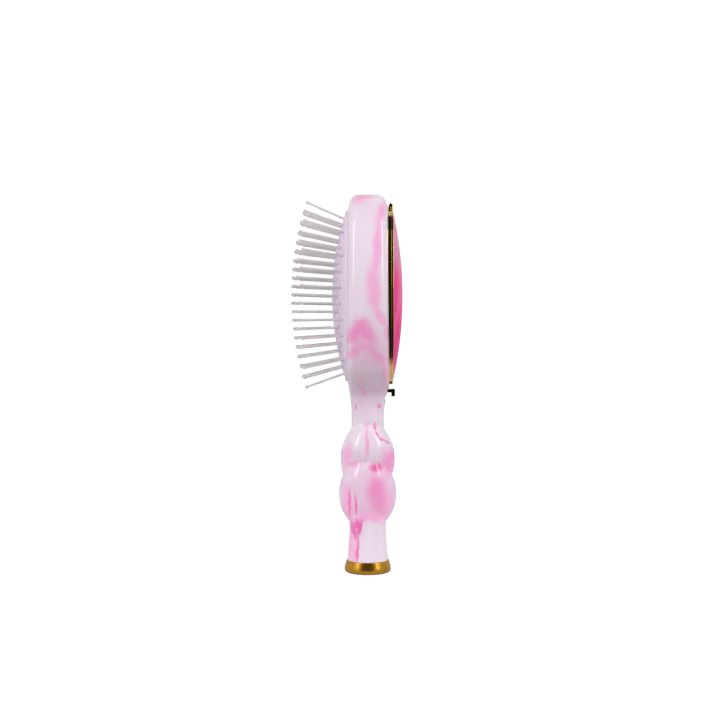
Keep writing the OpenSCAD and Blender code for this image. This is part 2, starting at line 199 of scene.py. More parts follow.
def handle_radius(z):
    """Radius of the handle: the flared column, two bulges and the neck, with soft creases between them."""
    flare = (np.clip(flare_top - z, 0, flare_top) / flare_top) ** 2.2
    column = np.where(z > lower_z, 0, column_r + flare_r * flare)
    lower = bulge(z, lower_z, lower_half, lower_r)
    upper = bulge(z, upper_z, upper_half, upper_r)
    neck = np.where(z > upper_z, neck_r, 0)
    return softest(softest(column, lower, 0.22), softest(upper, neck, 0.8), 0.16)


def crown(z):
    """The head's thickness fades over its last stretch: 0.45 + 0.55 sqrt(1 - u^2)."""
    u = np.clip(1 - (head_top - z) / crown_h, 0, 1)
    return 0.45 + 0.55 * np.sqrt(1 - u**2)


def half_width(z):
    """Half width: the handle's radius and the head's oval, which fades in, as (r^3 + w^3)^(1/3)."""
    d = np.clip(np.abs(z - head_z) / (head_len / 2), 0, 1)
    head = head_w / 2 * (1 - d**OVAL) ** (1 / OVAL) * np.sqrt(ramp(z, 96, 118))
    handle = handle_radius(np.minimum(z, head_z)) ** 3 * (1 - ramp(z, head_z, head_top))
    return (handle + head**3) ** (1 / 3)


def depth(z, front):
    """Depth in front of or behind the middle plane: the handle's radius, growing to the head's depth."""
    radius = handle_radius(z)
    if front:
        return (radius + 3.35 * ramp(z, 90, 122) - 0.012 * np.maximum(0, z - 112)) * crown(z)
    return (radius + 3.15 * ramp(z, 90, 110) - 0.01 * np.maximum(0, z - 108)) * crown(z)


def section_power(z):
    """Squareness of the cross-section: 2 is an ellipse on the handle, 6 a rounded slab on the head."""
    return 2 + 4 * ramp(z, 94, 116)


def head_surface(x, z, front):
    """Depth of the head's face at (x, z): depth * (1 - (|x| / half width)^p)^(1/p)."""
    power = section_power(z)
    share = np.clip(np.abs(x) / half_width(z), 0, 1)
    return depth(z, front) * (1 - share**power) ** (1 / power)


def body_surface(z, t):
    """Point of the moulding: [W cos t / k, D sin t / k, z + arch], a squarish oval at each height z.

    The side grooves take 7.5% off the radius near t = 0 and 180 degrees, and the arch lifts the
    creases between the bulges at the sides: 66 u^1.35 (1 - u)^1.53 (1 - |sin t|^3).
    """
    lobes = ramp(z, 24, 38) * (1 - ramp(z, 74, 90))
    groove = 1 - 0.075 * lobes * np.exp(-((np.sin(t) / 0.15) ** 2))
    scale = oval_scale(t, section_power(z)) / groove
    deep = np.where(np.sin(t) < 0, depth(z, True), depth(z, False))
    u = np.clip((z - 7) / 85, 0, 1)
    arch = 66 * u**1.35 * (1 - u) ** 1.53 * (1 - np.abs(np.sin(t)) ** 3)
    return np.stack([half_width(z) * np.cos(t) / scale, deep * np.sin(t) / scale, z + arch], axis=-1)


def add_mesh(name, points, faces):
    """A mesh object from points in millimetres; its normals are turned outwards."""
    mesh = bpy.data.meshes.new(name)
    mesh.from_pydata((np.asarray(points) * MM).tolist(), [], faces)
    shape = bmesh.new()
    shape.from_mesh(mesh)
    bmesh.ops.recalc_face_normals(shape, faces=shape.faces)
    shape.to_mesh(mesh)
    shape.free()
    made = bpy.data.objects.new(name, mesh)
    scene.collection.objects.link(made)
    return made


def grid_faces(rows, columns, first=0):
    """Corner numbers of the squares of a grid whose columns close on themselves."""
    number = first + np.arange(rows * columns).reshape(rows, columns)
    ahead = np.roll(number, -1, axis=1)
    squares = np.stack([number[:-1], ahead[:-1], ahead[1:], number[1:]], axis=-1)
    return squares.reshape(-1, 4).tolist()


def loft_parts(rings):
    """Points and faces of a closed solid through rings of points, with a fan at each end."""
    rows, columns = rings.shape[:2]
    ends = [rings[0].mean(axis=0), rings[-1].mean(axis=0)]
    points = np.concatenate([rings.reshape(-1, 3), ends])
    turn = np.arange(columns)
    ahead = np.roll(turn, -1)
    last = (rows - 1) * columns
    low_fan = np.stack([np.full(columns, rows * columns), ahead, turn], axis=-1)
    high_fan = np.stack([np.full(columns, rows * columns + 1), last + turn, last + ahead], axis=-1)
    return points, grid_faces(rows, columns) + low_fan.tolist() + high_fan.tolist()


def loft(name, rings):
    """A closed solid through rings of points."""
    return add_mesh(name, *loft_parts(rings))


def oval_rings(a, b, y, columns):
    """Rings parallel to the head: for each row, [a cos t / k, y, head_z + b sin t / k]."""
    t = np.linspace(0, 2 * np.pi, columns, endpoint=False)
    a, b, y = (np.asarray(v, float).reshape(len(y), -1) for v in (a, b, y))
    k = oval_scale(t, OVAL)
    return np.stack([a * np.cos(t) / k, y + 0 * t, head_z + b * np.sin(t) / k], axis=-1)


def mouth_cutter(name, a, b, floor_y, lip, front):
    """An oval cutter from floor_y out through the head's face, with a quarter-round lip along that face."""
    t = np.linspace(0, 2 * np.pi, 240, endpoint=False)
    k = oval_scale(t, OVAL)
    x, z = a * np.cos(t) / k, b * np.sin(t) / k
    way = -1 if front else 1
    face = way * head_surface(x, head_z + z, front)
    turn = np.radians(np.linspace(0, 90, 7))[:, None]
    out = np.concatenate([[[0]], lip * (1 - np.cos(turn)), [[lip * 1.35]], [[lip * 1.35]]])
    rise = np.concatenate([lip * (np.sin(turn) - 1), [[0.35 * lip]]]) * way
    y = np.concatenate([[floor_y + 0 * t], face + rise, [way * 30 + 0 * t]])
    points = np.stack([(a + out) * np.cos(t) / k, y, head_z + (b + out) * np.sin(t) / k], axis=-1)
    return loft(name, points)


def box_ring(low, high):
    """Two square rings that span a box."""
    x = [low[0], high[0], high[0], low[0]]
    y = [low[1], low[1], high[1], high[1]]
    return np.array([[[x[i], y[i], z] for i in range(4)] for z in (low[2], high[2])], float)


def round_rings(radii, heights, columns=64, centre=(0, 0)):
    """Rings of a turned shape about Z: a radius for each height."""
    t = np.linspace(0, 2 * np.pi, columns, endpoint=False)
    r, z = np.array(radii, float)[:, None], np.array(heights, float)[:, None]
    return np.stack([centre[0] + r * np.cos(t), centre[1] + r * np.sin(t), z + 0 * t], axis=-1)


def cut(piece, *cutters):
    """Cuts each cutter out of a piece for good, and removes the cutters."""
    for cutter in cutters:
        knife = piece.modifiers.new("cut", "BOOLEAN")
        knife.object = cutter
        knife.operation = "DIFFERENCE"
        knife.solver = "MANIFOLD"
    graph = bpy.context.evaluated_depsgraph_get()
    result = bpy.data.meshes.new_from_object(piece.evaluated_get(graph))
    piece.modifiers.clear()
    piece.data = result
    for cutter in cutters:
        bpy.data.objects.remove(cutter)


def smooth(piece, degrees=32):
    """Smooth shading, kept sharp along edges steeper than an angle."""
    piece.data.shade_smooth()
    piece.data.set_sharp_from_angle(angle=math.radians(degrees))


top_turn = np.radians(np.linspace(0, 89.6, 36))
levels = np.concatenate([
    np.arange(foot_h, 27.2, 1.1),
    np.arange(27.2, 31, 0.3),
    np.arange(31, 53.5, 0.9),
    np.arange(53.5, 58.5, 0.28),
    np.arange(58.5, 79.5, 0.9),
    np.arange(79.5, 84, 0.35),
    np.arange(84, 118, 1.0),
    np.arange(118, head_top - 12.8, 1.5),
    head_top - 12.7 * (1 - np.sin(top_turn)),
])
around = np.linspace(0, 2 * np.pi, 232, endpoint=False)
rings = body_surface(levels[:, None], around[None, :])
rings[0, :, :2] *= 0.98
rings[1, :, 2] = foot_h + 0.35
body = loft("body", rings)
cover = [np.array(v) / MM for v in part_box("catch_plate")]
cut(
    body,
    mouth_cutter("well", well_a, well_b, well_floor, 0.55, True),
    mouth_cutter("rebate", rim_a + 0.05, rim_b + 0.05, rim_seat, 0.25, False),
    loft("recess", oval_rings([recess_a] * 2, [recess_b] * 2, [recess_floor, rim_seat + 1], 160)),
    loft("pocket", box_ring(pocket_low, pocket_high)),
    loft("plate seat", box_ring(cover[0] - 0.05, [cover[1][0] + 0.05, 30, cover[1][2] + 0.05])),
    loft("spring bore", round_rings([spring_bore_r] * 2, [spring_bottom, 99.5], centre=(0, spring_y))),
    loft("spigot bore", round_rings([7.55, 7.55], [foot_h - 1, 13.2])),
    loft("insert bore", round_rings([3.52, 3.52], [foot_h, 28.0])),
)
smooth(body)


def group(name, inputs, outputs):
    """An empty node group with named sockets; each is (name, kind, value)."""
    made = bpy.data.node_groups.new(name, "ShaderNodeTree")
    for label, kind, value in inputs:
        socket = made.interface.new_socket(name=label, in_out="INPUT", socket_type="NodeSocket" + kind)
        if value is not None:
            socket.default_value = value
    for label, kind in outputs:
        made.interface.new_socket(name=label, in_out="OUTPUT", socket_type="NodeSocket" + kind)
    return made


def use(tree, shared, sockets):
    """A node that uses a node group."""
    made = tree.nodes.new("ShaderNodeGroup")
    made.node_tree = shared
    for key, value in sockets.items():
        if isinstance(value, bpy.types.NodeSocket):
            tree.links.new(value, made.inputs[key])
        else:
            made.inputs[key].default_value = value
    return made


# Pushes a position about by smooth noise, as stirred resin is.
stir = group(
    "stir",
    [("Vector", "Vector", None), ("Amount", "Float", 3.0), ("Size", "Float", 10.0)],
    [("Vector", "Vector")],
)
start = stir.nodes.new("NodeGroupInput")
per_mm = node(stir, "Math", {0: 1.0, 1: start.outputs["Size"]}, operation="DIVIDE")
push = node(stir, "TexNoise", {"Vector": start.outputs["Vector"], "Scale": per_mm.outputs[0], "Detail": 2.5})
centred = node(stir, "VectorMath", {0: push.outputs["Color"], 1: (0.5, 0.5, 0.5)}, operation="SUBTRACT")
double = node(stir, "Math", {0: start.outputs["Amount"], 1: 2.0}, operation="MULTIPLY")
sized = node(stir, "VectorMath", {0: centred.outputs[0], "Scale": double.outputs[0]}, operation="SCALE")
moved = node(stir, "VectorMath", {0: start.outputs["Vector"], 1: sized.outputs[0]}, operation="ADD")
stir.links.new(moved.outputs[0], stir.nodes.new("NodeGroupOutput").inputs[0])

# One long stroke of colour seen from the side: 1 along its middle, fading to 0 at its edge.
stroke = group(
    "stroke",
    [("Vector", "Vector", None), ("Y", "Float", 0.0), ("Z", "Float", 0.0), ("Length", "Float", 10.0),
     ("Width", "Float", 2.0), ("Tilt", "Float", 0.0), ("Core", "Float", 0.25)],
    [("Mask", "Float")],
)
start = stroke.nodes.new("NodeGroupInput")
centre = node(stroke, "CombineXYZ", {1: start.outputs["Y"], 2: start.outputs["Z"]})
away = node(stroke, "VectorMath", {0: start.outputs["Vector"], 1: centre.outputs[0]}, operation="SUBTRACT")
flat = node(stroke, "VectorMath", {0: away.outputs[0], 1: (0, 1, 1)}, operation="MULTIPLY")
turned = node(
    stroke, "VectorRotate",
    {"Vector": flat.outputs[0], "Angle": start.outputs["Tilt"]},
    rotation_type="X_AXIS",
)
size = node(stroke, "CombineXYZ", {0: 1.0, 1: start.outputs["Width"], 2: start.outputs["Length"]})
shares = node(stroke, "VectorMath", {0: turned.outputs[0], 1: size.outputs[0]}, operation="DIVIDE")
far = node(stroke, "VectorMath", {0: shares.outputs[0]}, operation="LENGTH")
fade = node(
    stroke, "MapRange",
    {0: far.outputs["Value"], 1: 1.0, 2: start.outputs["Core"], 3: 0.0, 4: 1.0},
    interpolation_type="SMOOTHSTEP",
)
stroke.links.new(fade.outputs[0], stroke.nodes.new("NodeGroupOutput").inputs[0])

# Thin ridges of noise, drawn out along the brush, in patches: the veins of marbled resin.
veins = group(
    "veins",
    [("Vector", "Vector", None), ("Size", "Float", 14.0), ("Stretch", "Float", 0.45),
     ("Thin", "Float", 0.80), ("Patches", "Float", 0.5)],
    [("Mask", "Float")],
)
start = veins.nodes.new("NodeGroupInput")
pull = node(veins, "CombineXYZ", {0: 1.0, 1: 1.0, 2: start.outputs["Stretch"]})
drawn = node(veins, "VectorMath", {0: start.outputs["Vector"], 1: pull.outputs[0]}, operation="MULTIPLY")
stirred = use(veins, stir, {"Vector": drawn.outputs[0], "Amount": 9.0, "Size": 18.0})
per_mm = node(veins, "Math", {0: 1.0, 1: start.outputs["Size"]}, operation="DIVIDE")
field = node(veins, "TexNoise", {"Vector": stirred.outputs[0], "Scale": per_mm.outputs[0], "Detail": 2.0})
level = node(veins, "Math", {0: field.outputs[0], 1: 2.0, 2: -1.0}, operation="MULTIPLY_ADD")
away = node(veins, "Math", {0: level.outputs[0]}, operation="ABSOLUTE")
ridge = node(veins, "Math", {0: 1.0, 1: away.outputs[0]}, operation="SUBTRACT")
sharp = node(
    veins, "MapRange",
    {0: ridge.outputs[0], 1: start.outputs["Thin"], 2: 1.0},
    interpolation_type="SMOOTHSTEP",
)
patch = node(veins, "TexNoise", {"Vector": drawn.outputs[0], "Scale": 0.045, "Detail": 1.0})
high = node(veins, "Math", {0: start.outputs["Patches"], 1: 0.14}, operation="ADD")
where = node(
    veins, "MapRange",
    {0: patch.outputs[0], 1: start.outputs["Patches"], 2: high.outputs[0]},
    interpolation_type="SMOOTHSTEP",
)
mask = node(veins, "Math", {0: sharp.outputs[0], 1: where.outputs[0]}, operation="MULTIPLY")
veins.links.new(mask.outputs[0], veins.nodes.new("NodeGroupOutput").inputs[0])


def paint(tree, ground, colour, mask, strength):
    """Lays a colour over the ground where the mask is, and gives the new ground."""
    much = node(tree, "Math", {0: mask, 1: strength}, operation="MULTIPLY", use_clamp=True)
    laid = node(tree, "Mix", {0: much.outputs[0], 6: ground, 7: colour}, data_type="RGBA")
    return laid.outputs[2]


def strokes(tree, where, marks):
    """The strongest of several strokes, each (Y, Z, half length, half width, tilt in degrees)."""
    strongest = None
    for y, z, length, width, tilt in marks:
        one = use(tree, stroke, {
            "Vector": where, "Y": y, "Z": z, "Length": length, "Width": width, "Tilt": math.radians(tilt),
        })
        if strongest is None:
            strongest = one.outputs[0]
        else:
            both = node(tree, "Math", {0: strongest, 1: one.outputs[0]}, operation="MAXIMUM")
            strongest = both.outputs[0]
    return strongest


# Pale lavender resin with pink stirred in. The +X side has its own pattern, laid stroke by stroke:
# washes, soft streaks, hot blotches, deep pools and fine veins; a few strokes are painted shade,
# marked where they stand. The rest is left to noise.
marble = bpy.data.materials.new("marbled resin")
marble.use_nodes = True
tree = marble.node_tree
tree.nodes.clear()
place = node(tree, "TexCoord").outputs["Object"]
in_mm = node(tree, "VectorMath", {0: place, "Scale": 1000.0}, operation="SCALE").outputs[0]
cloud = node(tree, "TexNoise", {"Vector": in_mm, "Scale": 0.035, "Detail": 2.0, "Distortion": 0.6})
ground = node(
    tree, "Mix",
    {0: cloud.outputs[0], 6: (0.87, 0.79, 0.87, 1), 7: (0.90, 0.73, 0.85, 1)},
    data_type="RGBA",
).outputs[2]
split = node(tree, "SeparateXYZ", {0: in_mm})
near = node(tree, "MapRange", {0: split.outputs["X"], 1: -9.0, 2: -1.0}, interpolation_type="SMOOTHSTEP")
rest = node(tree, "Math", {0: 1.0, 1: near.outputs[0]}, operation="SUBTRACT")
rest = node(tree, "Math", {0: rest.outputs[0], 1: 0.9, 2: 0.1}, operation="MULTIPLY_ADD")
wide = use(tree, veins, {"Vector": in_mm, "Size": 26.0, "Thin": 0.55, "Patches": 0.44})
fine = use(tree, veins, {"Vector": in_mm, "Size": 13.0, "Thin": 0.84, "Patches": 0.47})
on_rest = node(tree, "Math", {0: wide.outputs[0], 1: rest.outputs[0]}, operation="MULTIPLY")
fine_rest = node(tree, "Math", {0: fine.outputs[0], 1: rest.outputs[0]}, operation="MULTIPLY")
soft_pink = (0.98, 0.46, 0.74, 1)
hot_pink = (1.0, 0.17, 0.52, 1)
deep_pink = (0.86, 0.11, 0.42, 1)
ground = paint(tree, ground, soft_pink, on_rest.outputs[0], 0.85)
ground = paint(tree, ground, hot_pink, fine_rest.outputs[0], 0.8)
loose = use(tree, stir, {"Vector": in_mm, "Amount": 3.4, "Size": 13.0}).outputs[0]
tight = use(tree, stir, {"Vector": in_mm, "Amount": 1.1, "Size": 4.0}).outputs[0]
washes = strokes(tree, loose, [
    (-4.0, 43.0, 22.0, 14.0, 0.0),
    (10.0, 44.0, 20.0, 12.0, 0.0),
    (-10.0, 62.0, 12.0, 8.0, 0.0),
    (0.0, 128.0, 16.0, 13.0, 0.0),
])
soft_marks_and_shade = strokes(tree, loose, [
    (4.6, 182.0, 28.0, 3.4, 2.0),
    (2.8, 161.0, 18.0, 6.2, 0.0),
    (3.2, 157.0, 13.0, 4.0, 0.0),
    (6.0, 146.0, 10.0, 4.4, -35.0),
    (10.5, 136.0, 11.0, 3.2, -8.0),
    (10.0, 116.0, 22.0, 4.4, 0.0),
    (-7.0, 126.5, 9.5, 4.4, 52.0),
    (4.5, 124.5, 11.5, 4.4, -55.0),
    (-1.5, 129.0, 4.0, 8.0, 0.0),
    (-4.0, 138.0, 12.0, 10.0, 0.0),
    # Partly painted shade: pink across the crown stands for pink in the resin and for the shade where the
    # top turns away from the light.
    (-4.0, 211.5, 5.0, 11.0, 0.0),
    (7.5, 203.0, 9.0, 3.4, 12.0),
    (-11.5, 68.0, 11.0, 3.0, 6.0),
    (-12.0, 40.0, 17.0, 4.5, -6.0),
    # Painted shade: a band along the crease between the two bulges, on the front lobe.
    (-8.0, 63.2, 2.4, 8.0, 0.0),
    (7.0, 44.5, 21.0, 11.5, -10.0),
    (8.5, 39.5, 13.0, 9.5, 0.0),
    (12.5, 64.5, 13.0, 7.5, 0.0),
    (-1.2, 75.0, 14.0, 1.8, 2.0),
    (-8.5, 16.0, 16.0, 4.0, 0.0),
    (2.0, 33.0, 4.5, 14.0, 0.0),
    (-3.0, 31.5, 2.2, 8.0, 0.0),
])
hot_marks_and_shade = strokes(tree, loose, [
    (-7.6, 136.5, 8.5, 5.0, 36.0),
    (0.4, 136.0, 9.0, 4.8, -44.0),
    (-4.2, 140.0, 7.0, 5.4, 0.0),
    # Partly painted shade: hot pink on the crown, for pink in the resin and for the shade where the top
    # turns away.
    (-2.6, 212.4, 3.2, 7.0, 0.0),
    (4.6, 60.8, 5.0, 6.0, 0.0),
    (5.2, 47.0, 17.0, 7.5, -8.0),
    (13.4, 63.5, 11.0, 6.4, 0.0),
    (-3.2, 104.5, 7.0, 2.4, -12.0),
])
deep_marks = strokes(tree, tight, [
    (4.8, 61.2, 3.4, 5.0, 0.0),
    (-8.0, 25.5, 8.5, 2.4, -15.0),
    (-4.6, 26.3, 7.5, 2.0, 14.0),
    (-6.2, 27.8, 5.0, 4.2, 0.0),
])
fine_marks = strokes(tree, tight, [
    (4.2, 84.3, 3.6, 1.0, 0.0),
    (5.1, 79.4, 3.2, 1.0, -28.0),
    (8.0, 76.6, 3.4, 1.1, -66.0),
    (10.8, 74.9, 2.4, 1.0, -55.0),
    (-6.7, 94.8, 2.6, 1.0, 5.0),
    (6.6, 95.0, 2.2, 1.7, 0.0),
    (-10.4, 41.0, 13.0, 1.1, 0.0),
    (-6.8, 39.5, 11.0, 1.0, -3.0),
    (-5.9, 13.5, 13.0, 1.3, 2.0),
])
for colour, mask, strength in (
    (soft_pink, washes, 0.34),
    (soft_pink, soft_marks_and_shade, 0.92),
    (hot_pink, hot_marks_and_shade, 0.40),
    (deep_pink, deep_marks, 0.85),
    (hot_pink, fine_marks, 0.88),
):
    on_side = node(tree, "Math", {0: mask, 1: near.outputs[0]}, operation="MULTIPLY")
    ground = paint(tree, ground, colour, on_side.outputs[0], strength)
# Painted shade: a greyer mauve laid over the neck and the underside of the head, strongest halfway up, where
# the head overhangs.
height = split.outputs["Z"]
below = node(tree, "MapRange", {0: height, 1: 86.0, 2: 106.0}, interpolation_type="SMOOTHSTEP")
above = node(tree, "MapRange", {0: height, 1: 126.0, 2: 106.0}, interpolation_type="SMOOTHSTEP")
neck_shade_mask = node(tree, "Math", {0: below.outputs[0], 1: above.outputs[0]}, operation="MULTIPLY")
neck_shade_mauve = (0.66, 0.43, 0.56, 1)
ground = paint(tree, ground, neck_shade_mauve, neck_shade_mask.outputs[0], 0.38)
waves = node(tree, "TexNoise", {"Vector": in_mm, "Scale": 0.12, "Detail": 1.0})
gloss = node(tree, "MapRange", {0: waves.outputs[0], 3: 0.10, 4: 0.19})
dent = node(tree, "Bump", {"Height": waves.outputs[0], "Strength": 0.05, "Distance": 0.0006})
resin = node(tree, "BsdfPrincipled", {
    "Base Color": ground,
    "Roughness": gloss.outputs[0],
    "Normal": dent.outputs[0],
    "IOR": 1.5,
    "Subsurface Weight": 0.12,
    "Subsurface Scale": 0.003,
    "Subsurface Radius": (1.0, 0.6, 0.8),
    "Coat Weight": 0.4,
    "Coat Roughness": 0.04,
})
node(tree, "OutputMaterial", {0: resin.outputs[0]})
body.data.materials.clear()
body.data.materials.append(marble)
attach(body, "root")
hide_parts("brush_body")

# --- Gold foot ---------------------------------------------------------------------------------
# A turned metal foot, gold plated, with a spigot up into the handle. A screw through its middle
# holds it to a brass insert, and a soft disc covers the screw.
foot_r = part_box("end_cap")[1].x / MM
spigot_top = 13.0
screw_seat = 3.5
pad_seat = 1.0
foot_points = [
    (2.15, screw_seat), (2.15, spigot_top), (7.3, spigot_top), (7.5, spigot_top - 0.2), (7.5, foot_h),
    (11.9, foot_h),
    (12.15, foot_h - 0.06), (12.3, foot_h - 0.3), (12.5, 5.5), (12.85, 4.2), (13.15, 3.1),
]
lower_turn = np.radians(np.linspace(10, 90, 9))
foot_points += [(foot_r - 1.3 * (1 - np.cos(a)), 1.9 * (1 - np.sin(a))) for a in lower_turn]
foot_points += [(9.5, 0.0), (9.3, 0.15), (9.3, pad_seat), (3.8, pad_seat), (3.8, screw_seat)]


def turned_loop(name, profile, columns=192):
    """A turned ring: a closed profile of (radius, height) points, swept round Z."""
    profile = np.array(profile)
    t = np.linspace(0, 2 * np.pi, columns, endpoint=False)
    r, z = profile[:, :1], profile[:, 1:]
    rings = np.stack([r * np.cos(t), r * np.sin(t), z + 0 * t], axis=-1)
    rings = np.concatenate([rings, rings[:1]])
    return ring_mesh(name, rings)


def ring_mesh(name, rings):
    """A closed tube whose last ring repeats its first: the squares of the grid, closed both ways."""
    rows, columns = len(rings) - 1, rings.shape[1]
    number = np.arange(rows * columns).reshape(rows, columns)
    ahead = np.roll(number, -1, axis=1)
    up, corner = np.roll(number, -1, axis=0), np.roll(ahead, -1, axis=0)
    squares = np.stack([number, ahead, corner, up], axis=-1).reshape(-1, 4)
    return add_mesh(name, rings[:-1].reshape(-1, 3), squares.tolist())


foot = turned_loop("foot", foot_points)
smooth(foot, 28)

# Fine rubbing on plated metal: a roughness, a small dulling of the colour, and a bump height.
rubbing = group(
    "rubbing",
    [("Vector", "Vector", None), ("Roughness", "Float", 0.2), ("Rubbing", "Float", 0.1)],
    [("Roughness", "Float"), ("Dulling", "Float"), ("Height", "Float")],
)
start = rubbing.nodes.new("NodeGroupInput")
broad = node(rubbing, "TexNoise", {"Vector": start.outputs["Vector"], "Scale": 0.35, "Detail": 4.0})
drawn = node(rubbing, "VectorMath", {0: start.outputs["Vector"], 1: (0.6, 0.6, 6.0)}, operation="MULTIPLY")
lines = node(rubbing, "TexNoise", {"Vector": drawn.outputs[0], "Scale": 1.2, "Detail": 3.0})
mixed = node(rubbing, "Math", {0: broad.outputs[0], 1: lines.outputs[0]}, operation="MULTIPLY")
more = node(
    rubbing, "Math",
    {0: mixed.outputs[0], 1: start.outputs["Rubbing"], 2: start.outputs["Roughness"]},
    operation="MULTIPLY_ADD",
)
end = rubbing.nodes.new("NodeGroupOutput")
rubbing.links.new(more.outputs[0], end.inputs["Roughness"])
rubbing.links.new(broad.outputs[0], end.inputs["Dulling"])
rubbing.links.new(lines.outputs[0], end.inputs["Height"])


def metal(name, colour, dull_colour, roughness, rub):
    """A plated or plain metal with fine rubbing."""
    made = bpy.data.materials.new(name)
    made.use_nodes = True
    tree = made.node_tree
    tree.nodes.clear()
    place = node(tree, "TexCoord").outputs["Object"]
    in_mm = node(tree, "VectorMath", {0: place, "Scale": 1000.0}, operation="SCALE").outputs[0]
    worn = use(tree, rubbing, {"Vector": in_mm, "Roughness": roughness, "Rubbing": rub})
    tone = node(tree, "Mix", {0: worn.outputs["Dulling"], 6: colour, 7: dull_colour}, data_type="RGBA")
    dent = node(tree, "Bump", {"Height": worn.outputs["Height"], "Strength": 0.06, "Distance": 0.0001})
    shine = node(tree, "BsdfPrincipled", {
        "Base Color": tone.outputs[2],
        "Metallic": 1.0,
        "Roughness": worn.outputs["Roughness"],
        "Normal": dent.outputs[0],
    })
    node(tree, "OutputMaterial", {0: shine.outputs[0]})
    return made


def finish_node(name, material):
    """Gives a CAD node its material."""
    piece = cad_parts[name]
    piece.data.materials.clear()
    piece.data.materials.append(material)


foot_gold = metal("foot gold", (0.68, 0.37, 0.045, 1), (0.28, 0.13, 0.012, 1), 0.22, 0.45)
foot.data.materials.append(foot_gold)
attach(foot, "root")
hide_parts("end_cap")
steel = metal("bright steel", (0.62, 0.62, 0.64, 1), (0.45, 0.45, 0.47, 1), 0.22, 0.2)
brass = metal("turned brass", (0.72, 0.50, 0.20, 1), (0.55, 0.36, 0.12, 1), 0.28, 0.2)
finish_node("foot_screw", steel)
finish_node("foot_insert", brass)


def soft_solid(name, colour, other, roughness, grain_size, height):
    """A matt plastic, rubber or foam in two close colours, with a fine grain; its height is in mm."""
    made = bpy.data.materials.new(name)
    made.use_nodes = True
    tree = made.node_tree
    tree.nodes.clear()
    place = node(tree, "TexCoord").outputs["Object"]
    in_mm = node(tree, "VectorMath", {0: place, "Scale": 1000.0}, operation="SCALE").outputs[0]
    grain = node(tree, "TexNoise", {"Vector": in_mm, "Scale": 1 / grain_size, "Detail": 3.0})
    tone = node(tree, "Mix", {0: grain.outputs[0], 6: colour, 7: other}, data_type="RGBA")
    dent = node(tree, "Bump", {"Height": grain.outputs[0], "Strength": 0.3, "Distance": height * MM})
    skin = node(tree, "BsdfPrincipled", {
        "Base Color": tone.outputs[2],
        "Roughness": roughness,
        "Normal": dent.outputs[0],
    })
    node(tree, "OutputMaterial", {0: skin.outputs[0]})
    return made


pad_rubber = soft_solid("foot pad rubber", (0.05, 0.04, 0.05, 1), (0.08, 0.07, 0.08, 1), 0.7, 0.4, 0.05)
finish_node("foot_pad", pad_rubber)

# --- Cushion and its carrier -------------------------------------------------------------------
# A thin rubber cup, domed by the air behind it, pressed into the well over a plastic plate.
# Each pin leaves it through a small dimple.
pad_edge_y = -12.2
pad_rise = 8.0
pin_rows = 21
row_pitch = 4.4
pin_pitch = 9.6


def reach(x, z, a, b):
    """How far a point lies out towards an oval's edge: (|x/a|^2.3 + |z/b|^2.3)^(1/2.3)."""
    return (np.abs(x / a) ** OVAL + np.abs(z / b) ** OVAL) ** (1 / OVAL)


pin_grid = np.array([
    [(k + (0.5 if row % 2 == 0 else 0)) * pin_pitch, (row - (pin_rows + 1) / 2) * row_pitch]
    for row in range(1, pin_rows + 1)
    for k in range(-4, 5)
])
pin_spots = pin_grid[reach(pin_grid[:, 0], pin_grid[:, 1], well_a, well_b) < 0.91]


def cushion_rings(columns=400):
    """Rings of the cup from its middle outwards, over the edge, down the wall and back inside.

    The dome is y = edge - rise (1 - s^2), with s the share of the way out, and each pin's dimple
    takes 0.75 mm exp(-(d / 1.25 mm)^2) off it at the distance d. The edge is a quarter round.
    """
    outer = np.linspace(0.004, 0.965, 130)
    turn = np.radians(np.linspace(0, 90, 8))[1:]
    edge_from = outer[-1] * well_a
    edge_y = pad_edge_y - pad_rise * (1 - outer[-1] ** 2)
    edge_in = well_a - edge_from - (well_a - edge_from - 0.15) * np.sin(turn)
    edge = edge_y + 1.3 * (1 - np.cos(turn))
    inner = np.linspace(0.94, 0.01, 14)
    inset = np.concatenate([0 * outer, edge_in, [0.15, 0.15, 1.7, 1.7], 0 * inner])
    share = np.concatenate([outer, np.ones(len(turn)), np.ones(4), inner])
    dome = pad_edge_y - pad_rise * (1 - outer**2)
    roof = pad_edge_y - pad_rise * (1 - inner**2) + 1.6
    y = np.concatenate([dome, edge, [-8.0, -3.65, -3.65, -10.4], roof])
    a, b = share * well_a - inset, share * well_b - inset
    rings = oval_rings(a, b, y, columns)
    flat = rings[: len(outer)]
    x, z = flat[..., 0], flat[..., 2] - head_z
    away = (x[..., None] - pin_spots[:, 0]) ** 2 + (z[..., None] - pin_spots[:, 1]) ** 2
    flat[..., 1] += 0.75 * np.exp(-away / 1.25**2).sum(axis=-1)
    return rings


cushion = loft("cushion", cushion_rings())
smooth(cushion, 40)
lavender = soft_solid("cushion rubber", (0.84, 0.69, 0.84, 1), (0.89, 0.74, 0.89, 1), 0.42, 1.2, 0.03)
cushion.data.materials.append(lavender)
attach(cushion, "root")
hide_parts("cushion_pad")
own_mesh(cushion)
carrier = soft_solid("carrier plastic", (0.80, 0.72, 0.80, 1), (0.76, 0.68, 0.76, 1), 0.5, 0.8, 0.02)
finish_node("pad_carrier", carrier)

